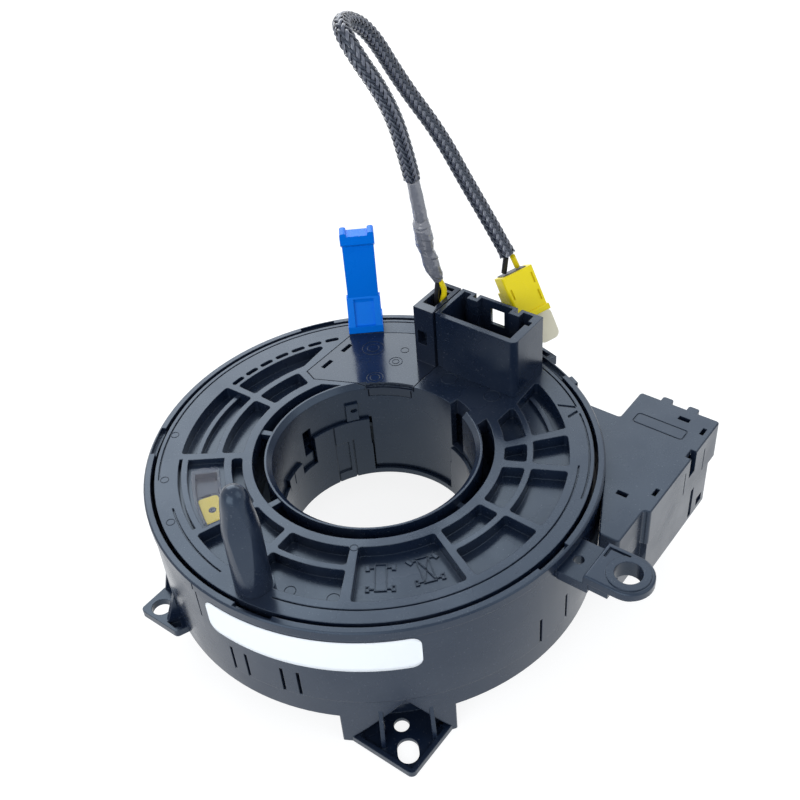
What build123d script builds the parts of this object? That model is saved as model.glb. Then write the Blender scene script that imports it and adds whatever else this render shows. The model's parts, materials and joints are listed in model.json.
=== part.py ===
from build123d import *
from math import cos, degrees, pi, radians, sin, sqrt, tan
import os

# Steering clock spring. Millimetres, +Z up along the steering axis, towards the driver.
# The origin is on that axis at the underside of the lower housing.
# +X runs through the screw lug, and the airbag socket and the side box stand square to X and Y.

# Heights
rim_top = 31.5
skirt_bottom = 6.2
floor_thick = 2.4
disc_thick = 4.7

# Clearances, and how far a cut runs past the face that it opens
running_gap = 0.3
seam_gap = 0.2
nest_gap = 0.05
past = 1.0

# Fixed ring
rim_radius = 57.0
rim_height = 2.6
rim_overhang = 0.4
rim_chamfer = 0.35
ring_wall = 1.3
base_inset = 0.45
lip_thick = 1.2
lip_height = 3.0
rim_notch_depth = 1.2
rim_notch_reach = 1.1
rim_notch_turn = 10.0
rim_notch_angles = (144.5, 209.5, 279.8, 353.7, 68.0)
slit_width = 0.8
slit_height = 8.6
slit_angles = (271.1, 275.3, 284.9, 289.0, 348.8, 358.5)
side_line_angle = 262.5
side_line_height = 11.8
line_depth = 0.5
line_width = 0.4

# Bore, hub and drum, each wall outside the one before
bore_radius = 24.4
sleeve_wall = 0.9
hub_wall = 1.8
hub_slot = 3.0
drum_wall = 2.0
hub_bottom = 4.0
hub_bevel = 1.3
web_height = 14.5
web_thick = 1.5
hub_floor_gap = 1.8
flange_lap = 2.0
flange_thick = 0.7
flange_pocket_depth = 1.3

# Turning disc
disc_gap = 1.0
window_depth = 3.2
window_corner = 0.8
window_margin = 0.4
inner_band = 5.5
band_rib = 1.5
outer_border = 5.9
lip_line_inset = 1.1
step_line_inset = 3.6

# Socket for the airbag lead, on the disc, and the lead box beside it
socket_left = -5.4
socket_width = 24.8
socket_inset = 5.8
socket_depth = 13.5
block_height = 17.7
socket_wall = 1.2
socket_right_wall = 2.3
socket_floor = 1.6
lead_width = 6.4
lead_wall = 1.4

# Cover plate over the lead ends, in one piece with the lead box
cover_thick = 1.6
cover_left = -34.4
tongue_start = 104.6
tongue_end = 131.2
tongue_drop = 4.0
tongue_thick = 1.5

# Turns indicator under its window
lens_start = 221.5
lens_end = 247.0
lens_width = 7.0
lens_thick = 1.2
lens_drop = 0.5
wheel_angle = 239.5
wheel_radius = 6.0
wheel_thick = 1.1
wheel_teeth = 6
wheel_well_depth = 2.4
wheel_plate_thick = 0.4
flag_length = 9.4
flag_width = 5.0
flag_thick = 0.5
pin_radius = 0.9

# Drive peg
peg_angle = 275.4
peg_inset = 5.1
peg_radius = 4.3
peg_height = 30.0
peg_tip_radius = 2.4
peg_shoulder = 17.0
peg_shank_radius = 2.5
peg_shank_length = 3.4
peg_flat_angle = -50.0
peg_flat_depth = 0.7
peg_flat_middle = 15.5
peg_flat_tilt = 3.0

# Lock tab, drawn along its own radius and then turned into place
tab_angle = 130.0
tab_width = 9.8
tab_strip_width = 8.6
tab_depth = 5.4
tab_foot = 2.2
tab_rise = 32.0
tab_wedge = 10.0
tab_strip_thick = 1.6
prong_length = 3.0
prong_width = 5.0
prong_thick = 1.6

# Flat cable and its slide sheets
cable_turns = 8
cable_inner_gap = 2.7
cable_outer_gap = 3.25
cable_thick = 0.35
cable_height = 21.0
sheet_thick = 0.4

# Side box
box_top = 27.5
box_seam = 16.2
box_bottom = 2.5
box_wall = 1.6
box_reach = 8.8
box_side_angle = 22.4
box_near_reach = 12.7
box_step_reach = 12.1
socket_bank = 12.8
socket_gap = 2.2
box_corner = 0.8
base_setback = 0.25
pin_size = 0.64
pins_per_row = 5

# Screw lug
lug_reach = 14.4
lug_y = -0.6
lug_radius = 5.9
lug_hole_radius = 3.2
lug_thick = 2.2
lug_drop = 1.0
pad_drop = 2.5
pad_thick = 2.6
pad_hole_radius = 1.25
boss_length = 4.2

# Feet
foot_thick = 1.7
front_foot_drop = 8.0
front_slot_width = 5.0
front_slot_length = 6.6
slot_margin = 0.45
small_hole_radius = 1.85
left_foot_thick = 2.0
left_hole_radius = 2.5

# Harness
harness_diameter = 4.2
tape_diameter = 5.2
wire_diameter = 1.7
harness_route = [
    (-9.0, 42.7, 54.0),
    (-11.2, 40.3, 63.0),
    (-10.1, 38.0, 75.1),
    (-10.0, 35.5, 90.1),
    (-11.1, 31.8, 107.6),
    (-18.3, 25.1, 122.2),
    (-25.6, 31.9, 127.1),
    (-26.6, 44.0, 118.7),
    (-22.8, 51.6, 102.4),
    (-16.1, 56.6, 88.8),
    (-9.0, 58.5, 76.0),
    (-2.8, 58.2, 65.1),
    (2.1, 58.9, 56.7),
]
tape_runs = 3
tape_last_share = 0.8
plug_width = 9.6
plug_depth = 7.0
plug_length = 12.8
plug_wall = 1.2
plug_top = (2.8, 59.7, 50.9)
plug_across = (0.40, 0.91, 0.105)
plug_up = (-0.52, 0.13, 0.85)

# What follows from them
skirt_radius = rim_radius - rim_overhang
rim_inner_radius = skirt_radius - ring_wall
base_radius = skirt_radius - base_inset
lip_outer_radius = rim_inner_radius - seam_gap
lip_inner_radius = lip_outer_radius - lip_thick
disc_radius = rim_inner_radius - disc_gap
disc_underside = rim_top - disc_thick
sleeve_outer_radius = bore_radius + sleeve_wall
hub_inner_radius = sleeve_outer_radius + nest_gap * 2
hub_outer_radius = hub_inner_radius + hub_wall
drum_inner_radius = hub_outer_radius + hub_slot
drum_outer_radius = drum_inner_radius + drum_wall
floor_hole_radius = hub_outer_radius + hub_floor_gap
flange_radius = floor_hole_radius + flange_lap
window_inner_radius = drum_outer_radius + window_margin
rib_inner_radius = window_inner_radius + inner_band
rib_outer_radius = rib_inner_radius + band_rib
window_outer_radius = disc_radius - outer_border
socket_right = socket_left + socket_width
socket_back = disc_radius - socket_inset
socket_front = socket_back - socket_depth
lead_right = socket_left - seam_gap * 2
lead_left = lead_right - lead_width
lens_inner_radius = rib_outer_radius - 1.2
lens_outer_radius = lens_inner_radius + lens_width
wheel_track_radius = (lens_inner_radius + lens_outer_radius) / 2
peg_track_radius = disc_radius - peg_inset
tab_outer_radius = disc_radius - running_gap
tab_inner_radius = tab_outer_radius - tab_depth
prong_inner_radius = tab_inner_radius + 1.0
chamber_floor = floor_thick + sheet_thick
cable_low = chamber_floor + running_gap
cable_inner_radius = drum_outer_radius + cable_inner_gap
cable_outer_radius = rim_inner_radius - cable_outer_gap
cable_pitch = (cable_outer_radius - cable_thick - cable_inner_radius) / cable_turns
box_clear_radius = skirt_radius + seam_gap
box_side_y = box_clear_radius * sin(radians(box_side_angle))
box_near = box_side_y - box_near_reach
box_step = box_near + box_step_reach
box_right = skirt_radius + box_reach
box_far = skirt_radius + 2.4
base_far = box_far - 3.4
box_inner_side = skirt_radius - 13.2
box_shoulder = skirt_radius - 9.1
box_front_right = box_right - 1.7
box_front_left = box_right - 6.8
lug_x = skirt_radius + lug_reach
lug_top = rim_top - lug_drop
pad_top = lug_top - pad_drop
lug_step_x = lug_x - 8.0
front_foot_top = -front_foot_drop
front_foot_right = base_radius - 10.9
front_foot_front = -(base_radius - 7.3)
left_foot_side = -(base_radius - 21.4)
left_foot_front = -(base_radius - 1.0)


def block(x0, x1, y0, y1, z0, z1):
    return Pos((x0 + x1) / 2, (y0 + y1) / 2, (z0 + z1) / 2) * Box(x1 - x0, y1 - y0, z1 - z0)


def ring(outer, inner, z0, z1):
    tube = Cylinder(outer, z1 - z0) - Cylinder(inner, z1 - z0)
    return Pos(0, 0, (z0 + z1) / 2) * tube


def post(x, y, radius, z0, z1):
    return Pos(x, y, (z0 + z1) / 2) * Cylinder(radius, z1 - z0)


def at_angle(radius, angle):
    return (radius * cos(radians(angle)), radius * sin(radians(angle)))


def turn_of(length, radius):
    """The angle that a length takes on a circle."""
    return degrees(length / radius)


def sector(inner, outer, start, end, z0, z1, start_out=None, end_out=None):
    """Ring sector. start_out and end_out shift its outer corners, for slanted ends."""
    far_start = start if start_out is None else start_out
    far_end = end if end_out is None else end_out
    near_arc = CenterArc((0, 0), inner, start, end - start)
    far_arc = CenterArc((0, 0), outer, far_start, far_end - far_start)
    outline = near_arc + far_arc + Line(near_arc @ 0, far_arc @ 0) + Line(near_arc @ 1, far_arc @ 1)
    return Pos(0, 0, z0) * extrude(make_face(outline), z1 - z0)


def prism(points, z0, z1, corner=0.0):
    outline = make_face(Polyline(points, close=True))
    if corner:
        outline = fillet(outline.vertices(), corner)
    return Pos(0, 0, z0) * extrude(outline, z1 - z0)


def gusset(angle, inner, outer, z0, z1, thick):
    """A triangular rib on a radius: it stands on z0 from inner to outer and tapers to inner at z1."""
    side = make_face(Plane.XZ * Polyline([(inner, z0), (outer, z0), (inner + 0.3, z1), (inner, z1)], close=True))
    return Rot(0, 0, angle) * extrude(side, thick / 2, both=True)


def upright_rounded(solid, radius):
    return fillet(solid.edges().filter_by(Axis.Z), radius)


def turned(profile):
    return revolve(make_face(Plane.XZ * Polyline(profile, close=True)), Axis.Z)


# Upper housing: rim, skirt, screw lug and wire clip
def make_upper_housing():
    rim_low = rim_top - rim_height
    skirt_low = skirt_bottom + seam_gap
    body = turned([
        (rim_inner_radius, skirt_low), (skirt_radius, skirt_low), (skirt_radius, rim_low), (rim_radius, rim_low),
        (rim_radius, rim_top - rim_chamfer), (rim_radius - rim_chamfer, rim_top), (rim_inner_radius, rim_top),
    ])
    half_notch = rim_notch_turn / 2
    notch_radius = rim_inner_radius + rim_notch_reach
    for angle in rim_notch_angles:
        body -= sector(rim_inner_radius - past, notch_radius, angle - half_notch, angle + half_notch,
                       rim_top - rim_notch_depth, rim_top + past)
    half_slit = turn_of(slit_width, skirt_radius) / 2
    for angle in slit_angles:
        body -= sector(rim_inner_radius - past, rim_radius + past, angle - half_slit, angle + half_slit,
                       skirt_bottom - past, skirt_bottom + slit_height)
    half_line = turn_of(line_width, skirt_radius) / 2
    body -= sector(skirt_radius - line_depth, rim_radius + past, side_line_angle - half_line,
                   side_line_angle + half_line, rim_top - side_line_height, rim_top - rim_chamfer)
    return body + make_lug() + make_wire_clip()


def make_lug():
    """The lug's plate with its boss, and the lower pad with the locating hole beside the skirt."""
    inner_edge = skirt_radius - ring_wall / 2
    plate = block(lug_step_x, lug_x, lug_y - 5.9, lug_y + 5.9, lug_top - lug_thick, lug_top)
    plate += post(lug_x, lug_y, lug_radius, lug_top - lug_thick, lug_top)
    plate = fillet(plate.faces().sort_by(Axis.Z)[-1].edges(), 0.5)
    plate += post(lug_x, lug_y, lug_radius - 0.9, lug_top - past, lug_top + 0.25)
    plate += post(lug_x, lug_y, lug_hole_radius + 1.1, lug_top - boss_length, lug_top)
    plate -= block(lug_step_x + 0.9, lug_step_x + 6.2, lug_y + 4.1, lug_y + 4.8, lug_top - 0.6, lug_top + past)
    plate -= block(lug_step_x + 0.9, lug_step_x + 1.5, lug_y + 1.6, lug_y + 4.8, lug_top - 0.6, lug_top + past)
    pad_low = pad_top - pad_thick
    pad = block(inner_edge, lug_step_x + 1.2, lug_y - 5.9, lug_y + 5.6, pad_low, pad_top)
    pad = upright_rounded(pad, 1.0)
    riser = block(lug_step_x, lug_step_x + 1.2, lug_y - 5.9, lug_y + 5.9, pad_low, lug_top - 0.5)
    rib = block(lug_step_x, lug_x - 2.0, lug_y - 5.6, lug_y - 4.2, lug_top - boss_length, lug_top - lug_thick)
    lug = plate + pad + riser + rib
    lug -= post(lug_x, lug_y, lug_hole_radius, lug_top - boss_length - past, lug_top + past)
    lug -= post(skirt_radius + 2.4, lug_y - 0.4, pad_hole_radius, pad_low - past, pad_top + past)
    return lug - ring(rim_inner_radius, bore_radius, 0, rim_top)


def make_wire_clip():
    clip_low = rim_top - 3.2
    clip = sector(skirt_radius, rim_radius + 2.8, 71.5, 77.5, clip_low, rim_top - 0.6)
    clip -= sector(rim_radius + 0.6, rim_radius + 1.9, 73.0, 76.0, clip_low - past, rim_top + past)
    nub = sector(skirt_radius, rim_radius + 0.9, 59.3, 62.3, clip_low + 0.8, rim_top - 0.4)
    return clip + nub


# Lower housing: floor, short wall, inner lip and the two feet
def make_lower_housing():
    body = ring(base_radius, floor_hole_radius, 0, floor_thick)
    body += ring(base_radius, lip_inner_radius, floor_thick, skirt_bottom)
    body += ring(lip_outer_radius, lip_inner_radius, skirt_bottom, skirt_bottom + lip_height)
    body -= ring(flange_radius + running_gap, floor_hole_radius - past, -past, flange_pocket_depth)
    body += make_front_foot_box()
    body -= front_foot_arch()
    body += make_front_foot_plate()
    body -= front_foot_holes()
    return body + make_left_foot()


front_foot_start = -62.8
front_foot_end = -34.9
front_foot_middle = -47.5
foot_box_inner = base_radius - 8.0


def make_front_foot_box():
    """Below the floor the wall runs down to the foot, with a wall behind and one at each end."""
    low = front_foot_top - foot_thick
    shell = sector(foot_box_inner, base_radius, front_foot_start, front_foot_end, low, 0)
    shell -= sector(foot_box_inner + 1.2, base_radius - 1.5, front_foot_start + 1.5, front_foot_end - 1.5,
                    low + 1.0, 0)
    return upright_rounded(shell, 0.4)


def front_foot_arch():
    """The pointed opening in the foot's wall, and the hollow that it shows under the floor."""
    half_left = 12.9
    half_right = 11.0
    apex_z = skirt_bottom - 0.6
    sill_z = front_foot_top - 0.7
    opening = [(-half_left, sill_z), (half_right, sill_z), (0.9, apex_z)]
    front_plane = Rot(0, 0, front_foot_middle) * Rot(0, 0, 90) * Rot(90, 0, 0)
    face = front_plane * make_face(Polyline(opening, close=True))
    outward = Vector(*at_angle(1.0, front_foot_middle), 0)
    shallow_start = lip_outer_radius - 0.6
    shallow = extrude(face.moved(Location(outward * (shallow_start - 4.0))), base_radius, dir=outward)
    shallow -= ring(shallow_start, 1, sill_z - past, apex_z + past)
    deep = extrude(face.moved(Location(outward * (foot_box_inner + 1.4))), base_radius, dir=outward)
    deep &= block(0, rim_radius * 2, -rim_radius * 2, 0, sill_z - past, floor_thick - 0.5)
    return shallow + deep


def make_front_foot_plate():
    """The corner that stands out from the wall: a thin plate with a raised edge and two ribs."""
    low = front_foot_top - foot_thick
    inner_x = sqrt(base_radius ** 2 - front_foot_front ** 2)
    inner_y = -sqrt(base_radius ** 2 - front_foot_right ** 2)
    corner = (front_foot_right, front_foot_front)
    triangle = [(inner_x, front_foot_front), corner, (front_foot_right, inner_y), (inner_x + 1, inner_y - 1)]
    plate = prism(triangle, low, front_foot_top)
    plate = fillet(plate.edges().filter_by(Axis.Z).group_by(Axis.X)[-1].sort_by(Axis.Y)[0], 1.4)
    pit = [(inner_x + 1.6, front_foot_front + 1.2), (front_foot_right - 1.2, front_foot_front + 1.2),
           (front_foot_right - 1.2, inner_y - 1.6), (inner_x + 1, inner_y - 1)]
    plate -= prism(pit, low + 1.0, front_foot_top + past)
    plate -= ring(base_radius - 1.2, bore_radius, low - past, 0)
    for angle, outer in ((-52.9, 2.6), (-41.0, 2.0)):
        plate += gusset(angle, base_radius - 1.2, base_radius + outer, low + 1.0, skirt_bottom - 0.2, 1.0)
    return plate


def front_foot_holes():
    low = front_foot_top - foot_thick - past
    slot_reach = base_radius + slot_margin + front_slot_length / 2
    slot = extrude(SlotOverall(front_slot_length, front_slot_width), foot_thick + past * 2)
    slot = Rot(0, 0, front_foot_middle) * Pos(slot_reach, 0, low) * slot
    small_x, small_y = at_angle(base_radius - 3.3, front_foot_middle - 0.9)
    return slot + post(small_x, small_y, small_hole_radius, low, front_foot_top)


def make_left_foot():
    corner = (left_foot_side, left_foot_front)
    outline = [(left_foot_side + 6.0, left_foot_front + 14.5), (left_foot_side, left_foot_front + 8.5), corner,
               (left_foot_side + 12.8, left_foot_front), (left_foot_side + 13.8, left_foot_front + 2.4),
               (left_foot_side + 15.0, left_foot_front + 5.5)]
    plate = prism(outline, 0, left_foot_thick)
    plate = fillet(plate.edges().filter_by(Axis.Z).sort_by(Axis.Y)[0:2], 1.3)
    pit = [(left_foot_side + 8.5, left_foot_front + 1.1), (left_foot_side + 11.6, left_foot_front + 0.9),
           (left_foot_side + 12.6, left_foot_front + 2.2), (left_foot_side + 10.2, left_foot_front + 3.6)]
    plate -= prism(pit, left_foot_thick - 1.3, left_foot_thick + past)
    wall_inner = base_radius - 0.6
    plate += gusset(-116.2, wall_inner, base_radius + 3.7, left_foot_thick - 0.2, left_foot_thick + 10.4, 1.4)
    plate += gusset(-126.6, wall_inner, base_radius + 1.9, left_foot_thick - 0.2, left_foot_thick + 9.0, 1.2)
    plate -= post(left_foot_side + 4.0, left_foot_front + 3.6, left_hole_radius, -past, left_foot_thick + past)
    plate -= ring(skirt_radius + nest_gap, bore_radius, skirt_bottom, rim_top)
    return plate - ring(base_radius - ring_wall, bore_radius, -past, rim_top)


# Turning disc with its windows, drum and hub
# Each window: which band it is in, then where it starts and ends at its inner and at its outer edge
inner_windows = [
    (160.0, 180.0, 160.0, 180.0), (183.0, 215.0, 183.0, 215.0), (250.5, 269.4, 250.5, 269.4),
    (272.5, 298.8, 272.5, 298.8), (336.0, 357.5, 336.0, 357.5), (0.6, 21.4, 0.6, 22.4),
    (25.7, 33.4, 25.7, 35.6), (37.1, 51.5, 39.4, 57.4),
]
outer_windows = [
    (182.5, 215.0, 182.5, 215.0), (250.0, 268.0, 250.0, 268.0), (272.5, 299.0, 272.5, 299.0),
    (335.7, 358.3, 335.7, 358.3), (0.6, 22.5, 0.6, 23.2), (25.5, 36.6, 25.5, 38.7), (39.6, 58.2, 41.7, 65.1),
]
# Each bridge between hub and drum: its angle, and how far its top lies below the disc's
bridges = ((199.5, 0.5), (252.5, 0.5), (301.0, 3.4), (355.7, 2.6))
bridge_half = 1.6


def window_cut(inner, outer, start, end, start_out, end_out):
    cut = sector(inner, outer, start, end, rim_top - window_depth, rim_top + past, start_out, end_out)
    return upright_rounded(cut, window_corner)


def window_cuts():
    cuts = [window_cut(window_inner_radius, rib_inner_radius, *window) for window in inner_windows]
    cuts += [window_cut(rib_outer_radius, window_outer_radius, *window) for window in outer_windows]
    cuts.append(window_cut(window_inner_radius, window_outer_radius, 302.0, 333.2, 302.0, 333.2))
    cuts.append(window_cut(window_inner_radius, window_inner_radius + 2.7, 218.5, 247.5, 218.5, 247.5))
    long_outer = rib_outer_radius + (window_outer_radius - rib_outer_radius) * 0.73
    cuts.append(window_cut(rib_outer_radius + 0.3, long_outer, 156.2, 180.0, 144.2, 180.0))
    return cuts


def make_rotor_disc():
    disc = ring(disc_radius, hub_inner_radius, disc_underside, rim_top)
    disc -= sector(hub_outer_radius, drum_inner_radius, 146.2, 412.0, disc_underside - past, rim_top + past,
                   155.0, 414.8)
    disc += ring(drum_outer_radius, drum_inner_radius, floor_thick + running_gap, disc_underside)
    disc += ring(hub_outer_radius, hub_inner_radius, hub_bottom, disc_underside)
    disc += sector(hub_inner_radius, hub_outer_radius, slot_start + 0.5, slot_end - 0.5, slot_sill + seam_gap,
                   hub_bottom + past)
    disc += ring(drum_inner_radius, hub_outer_radius, web_height, web_height + web_thick)
    for angle, drop in bridges:
        disc += sector(hub_outer_radius - 0.3, drum_inner_radius + 0.3, angle - bridge_half, angle + bridge_half,
                       rim_top - drop - 1.7, rim_top - drop)
    for cut in window_cuts():
        disc -= cut
    disc += low_ribs()
    peg_x, peg_y = at_angle(peg_track_radius, peg_angle)
    disc += post(peg_x, peg_y, peg_radius + 0.4, disc_underside, rim_top)
    disc -= hub_bevel_cut()
    disc -= dash_slots()
    disc -= seam_lines()
    disc -= hub_openings()
    disc -= indicator_seat()
    disc -= cover_outline(0, rim_top - cover_thick, rim_top + past)
    disc -= tongue_front(0, rim_top + past)
    disc -= post(peg_x, peg_y, peg_shank_radius + nest_gap, disc_underside + past, rim_top + past)
    return disc - tab_shape_turned(prong_hole())


def low_ribs():
    """Ribs that cross two of the windows, below the top."""
    low = rim_top - window_depth - 0.1
    first = sector(rib_outer_radius + 4.4, rib_outer_radius + 5.7, 182.0, 215.5, low, rim_top - 1.5)
    return first + sector(rib_outer_radius + 5.0, rib_outer_radius + 6.3, 40.0, 62.0, low, rim_top - 2.2)


def hub_bevel_cut():
    """The hub's bevelled edge, which stops where the tongue and the cover plate reach the bore."""
    height = hub_bevel + 0.5
    cone = Pos(0, 0, rim_top - hub_bevel) * Cone(
        hub_inner_radius, hub_inner_radius + height, height, align=(Align.CENTER, Align.CENTER, Align.MIN)
    )
    return cone - sector(bore_radius - past, hub_outer_radius + past, 75.6, 132.0, rim_top - 3, rim_top + 3)


def dash_slots():
    slot_turn = 4.6
    slot_step = 6.02
    slots = sector(window_outer_radius - 0.6, window_outer_radius + 0.2, 217.3, 247.5, rim_top - 2.0, rim_top + past)
    for index in range(7):
        start = 139.6 + slot_step * index
        cut = sector(window_outer_radius - 1.4, window_outer_radius - 0.1, start, start + slot_turn,
                     rim_top - 2.0, rim_top + past)
        slots += upright_rounded(cut, 0.6)
    return slots


def seam_lines():
    half = line_width / 2
    lip = disc_radius - lip_line_inset
    step = disc_radius - step_line_inset
    low = rim_top - line_depth
    cuts = sector(lip - half, lip + half, 14.0, 47.0, low, rim_top + past)
    for radius, start, end in ((lip, 50.0, 225.0), (step, 237.0, 265.5), (step, 282.0, 386.0)):
        cuts += sector(radius - half, radius + half, start, end, low, rim_top + past)
    for inner_angle, outer_angle, inner in ((45.9, 47.6, step - 0.7), (51.8, 49.4, step - 1.7)):
        cuts += sector(inner, lip - 0.3, inner_angle, inner_angle + 0.9, low, rim_top + past,
                       outer_angle, outer_angle + 0.9)
    return cuts


def hub_openings():
    """Openings in the hub wall where the sleeve's steps and the clip show."""
    inner = hub_inner_radius - past
    outer = hub_outer_radius + 0.6
    gap = turn_of(0.5, hub_inner_radius)
    cuts = sector(inner, outer, 64.0, slot_start, 17.0, rim_top + past)
    cuts += sector(inner, outer, 171.5, 178.0, 15.2, 23.5)
    cuts += sector(inner, outer, 132.0 - gap, 171.5, 0, 20.4)
    cuts += sector(inner, outer, 171.5, 183.5, 0, 11.6)
    return cuts + sector(inner, outer, 183.5, 201.0, 0, 15.4)


def indicator_seat():
    seat_top = rim_top - lens_drop - lens_thick
    seat = sector(lens_inner_radius - 1.2, lens_outer_radius + 0.9, lens_start - 3.7, lens_end + 1.6,
                  seat_top, rim_top + past)
    seat += sector(lens_inner_radius + 0.8, lens_outer_radius - 0.8, lens_start + 1, lens_end - 1,
                   seat_top - 1.6, seat_top + past)
    x, y = at_angle(wheel_track_radius, wheel_angle)
    return seat + post(x, y, wheel_radius + 0.4, disc_underside - past, disc_underside + wheel_well_depth)


# Airbag socket
def make_airbag_socket():
    base = rim_top
    top = rim_top + block_height
    floor_top = base + socket_floor
    cavity_back = socket_back - 0.9
    shell = block(socket_left, socket_right, socket_front, socket_back, base, top)
    corner = shell.edges().filter_by(Axis.Z).sort_by(Axis.Y)[0:2].sort_by(Axis.X)[-1]
    shell = fillet(corner, 1.8)
    shell -= block(socket_left - past, socket_left + 2.0, socket_front - past, socket_front + 0.7, base - past,
                   top + past)
    shell -= block(socket_left + socket_wall, socket_right - socket_right_wall, socket_front + 1.5, cavity_back,
                   floor_top, top + past)
    for guide_left in (3.4, 16.3):
        x0 = socket_left + guide_left
        x1 = x0 + 3.2
        guide = block(x0, x1, socket_back - 3.1, cavity_back, floor_top, top)
        guide -= block(x0 + 1.0, x1 - 1.0, socket_back - 1.9, socket_back + past, floor_top, top + past)
        shell += guide
        shell -= block(x0 + 1.0, x1 - 1.0, socket_back - 1.9, socket_back + past, top - 6.0, top + past)
    groove_y = socket_front + 8.3
    shell -= block(socket_right - socket_right_wall - 0.1, socket_right - 1.1, groove_y, groove_y + 1.7,
                   base + 4, top + past)
    window_left = socket_left + 9.4
    return shell - block(window_left, window_left + 4.2, socket_back - 2, socket_back + past, base + 10.4, base + 15.4)


def make_socket_pins():
    pins = []
    pin_y = socket_front + 6.7
    for step in (8.8, 11.9, 15.0):
        x = socket_left + step
        pin = block(x - 0.5, x + 0.5, pin_y - 0.5, pin_y + 0.5, rim_top + socket_floor, rim_top + 9)
        pins.append(chamfer(pin.faces().sort_by(Axis.Z)[-1].edges(), 0.25))
    return Compound(children=pins)


# Cover plate and lead box
def cover_outline(gap, z0, z1):
    """The plate's outline, drawn in by gap all round."""
    seam_x = socket_left - seam_gap - gap
    left = cover_left + gap
    corners = [(left, 14.7 + gap), (-30.5, 13.2 + gap), (-17.5, 19.0 + gap), (-17.0, 16.0), (seam_x, 16.0),
               (seam_x, rim_radius), (left, rim_radius)]
    plate = make_face(Polyline(corners, close=True)) & Circle(window_outer_radius - 0.2 - gap)
    foot_left = lead_left + gap
    foot_back = socket_back - gap
    plate += Pos((foot_left + seam_x) / 2, (socket_front + foot_back) / 2) * Rectangle(
        seam_x - foot_left, foot_back - socket_front)
    plate -= Circle(hub_inner_radius - nest_gap)
    return Pos(0, 0, z0) * extrude(plate, z1 - z0)


def tongue_front(gap, z1):
    """The plate's front edge, turned down over the bore's wall."""
    turn = turn_of(gap, hub_inner_radius)
    return sector(hub_inner_radius - nest_gap, hub_inner_radius + tongue_thick - gap, tongue_start + turn,
                  tongue_end - turn, rim_top - tongue_drop + gap, z1)


def make_lead_cover():
    top = rim_top + block_height
    cover = cover_outline(seam_gap, rim_top - cover_thick, rim_top)
    cover += tongue_front(seam_gap, rim_top - 0.2)
    cover -= sector(bore_radius, hub_inner_radius + 0.7, tongue_start - past, tongue_end + past, rim_top - 1.3,
                    rim_top + past)
    for share in (0.18, 0.5, 0.82):
        middle = tongue_start + (tongue_end - tongue_start) * share
        cover -= sector(bore_radius, hub_inner_radius + 1.1, middle - 3.2, middle + 3.2, rim_top - 1.1,
                        rim_top - 0.5)
    cover -= hub_bevel_cut()
    lead = block(lead_left + seam_gap, lead_right, socket_front, socket_back - seam_gap, rim_top, top)
    lead -= block(lead_left + lead_wall, lead_right - 1.2, socket_front + 2.8, socket_back - 1.4,
                  rim_top - 0.4, top + past)
    lead += block(lead_right - 3.2, lead_right, socket_back - 3.6, socket_back - 2.7, rim_top, top)
    lead -= block(lead_left + 1.1, lead_left + 4.0, socket_front - past, socket_front + 3, rim_top + 6, rim_top + 10.4)
    cover += lead
    for y in (20.2, 28.7):
        cover -= block(cover_left + 2.2, cover_left + 3.4, y - 1.9, y + 1.9, 0, rim_top + past)
    return cover


# Turns indicator
def make_indicator_window():
    top = rim_top - lens_drop
    lens = sector(lens_inner_radius, lens_outer_radius, lens_start, lens_end, top - lens_thick + nest_gap, top)
    return upright_rounded(lens, 1.2)


def make_wheel_plate():
    x, y = at_angle(wheel_track_radius, wheel_angle)
    plate = post(x, y, wheel_radius + 0.4 - nest_gap, disc_underside, disc_underside + wheel_plate_thick)
    return plate + post(x, y, pin_radius, disc_underside, disc_underside + wheel_well_depth - 0.1)


def make_indicator_wheel():
    x, y = at_angle(wheel_track_radius, wheel_angle)
    low = disc_underside + wheel_plate_thick + seam_gap
    wheel = post(x, y, wheel_radius, low, low + wheel_thick)
    for index in range(wheel_teeth):
        tooth_x, tooth_y = at_angle(wheel_radius, 360 / wheel_teeth * (index + 0.5))
        wheel -= post(x + tooth_x, y + tooth_y, 1.1, low - past, low + wheel_thick + past)
    return wheel - post(x, y, pin_radius + nest_gap, low - past, low + wheel_thick + past)


def make_indicator_flag():
    x, y = at_angle(wheel_track_radius, wheel_angle)
    low = disc_underside + wheel_plate_thick + seam_gap + wheel_thick
    bar = Pos(x, y, low + flag_thick / 2) * Rot(0, 0, wheel_angle + 90) * Box(flag_length, flag_width, flag_thick)
    return upright_rounded(bar, 0.9) - post(x, y, pin_radius + nest_gap, low - past, low + past * 2)


# Drive peg, turned about its own axis
def make_drive_peg():
    low = rim_top - peg_shank_length
    top = rim_top + peg_height
    shoulder = (peg_radius - 0.1, rim_top + peg_shoulder)
    tip = (peg_tip_radius, top - 1.3)
    foot = Polyline([(0, low), (peg_shank_radius, low), (peg_shank_radius, rim_top), (peg_radius, rim_top), shoulder])
    taper = Spline(shoulder, (peg_radius - 0.9, top - 5.5), tip, tangents=[(0, 1), (-0.6, 1)])
    crown = Spline(tip, (0, top), tangents=[(-0.8, 1), (-1, 0)])
    face = make_face(Plane.XZ * (foot + taper + crown + Line((0, top), (0, low))))
    peg = revolve(face, Axis.Z)
    flat = Pos(peg_radius - peg_flat_depth + 5, 0, rim_top + peg_flat_middle) * Rot(0, -peg_flat_tilt, 0)
    peg -= Rot(0, 0, peg_flat_angle) * flat * Box(10, peg_radius * 3, peg_height)
    return Pos(*at_angle(peg_track_radius, peg_angle), 0) * peg


# Blue lock tab
def tab_shape_turned(shape):
    return Rot(0, 0, tab_angle) * shape


def prong_hole():
    half_width = prong_width / 2 + seam_gap
    return block(prong_inner_radius - seam_gap, prong_inner_radius + prong_thick + seam_gap, -half_width, half_width,
                 disc_underside - past, rim_top + past)


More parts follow.
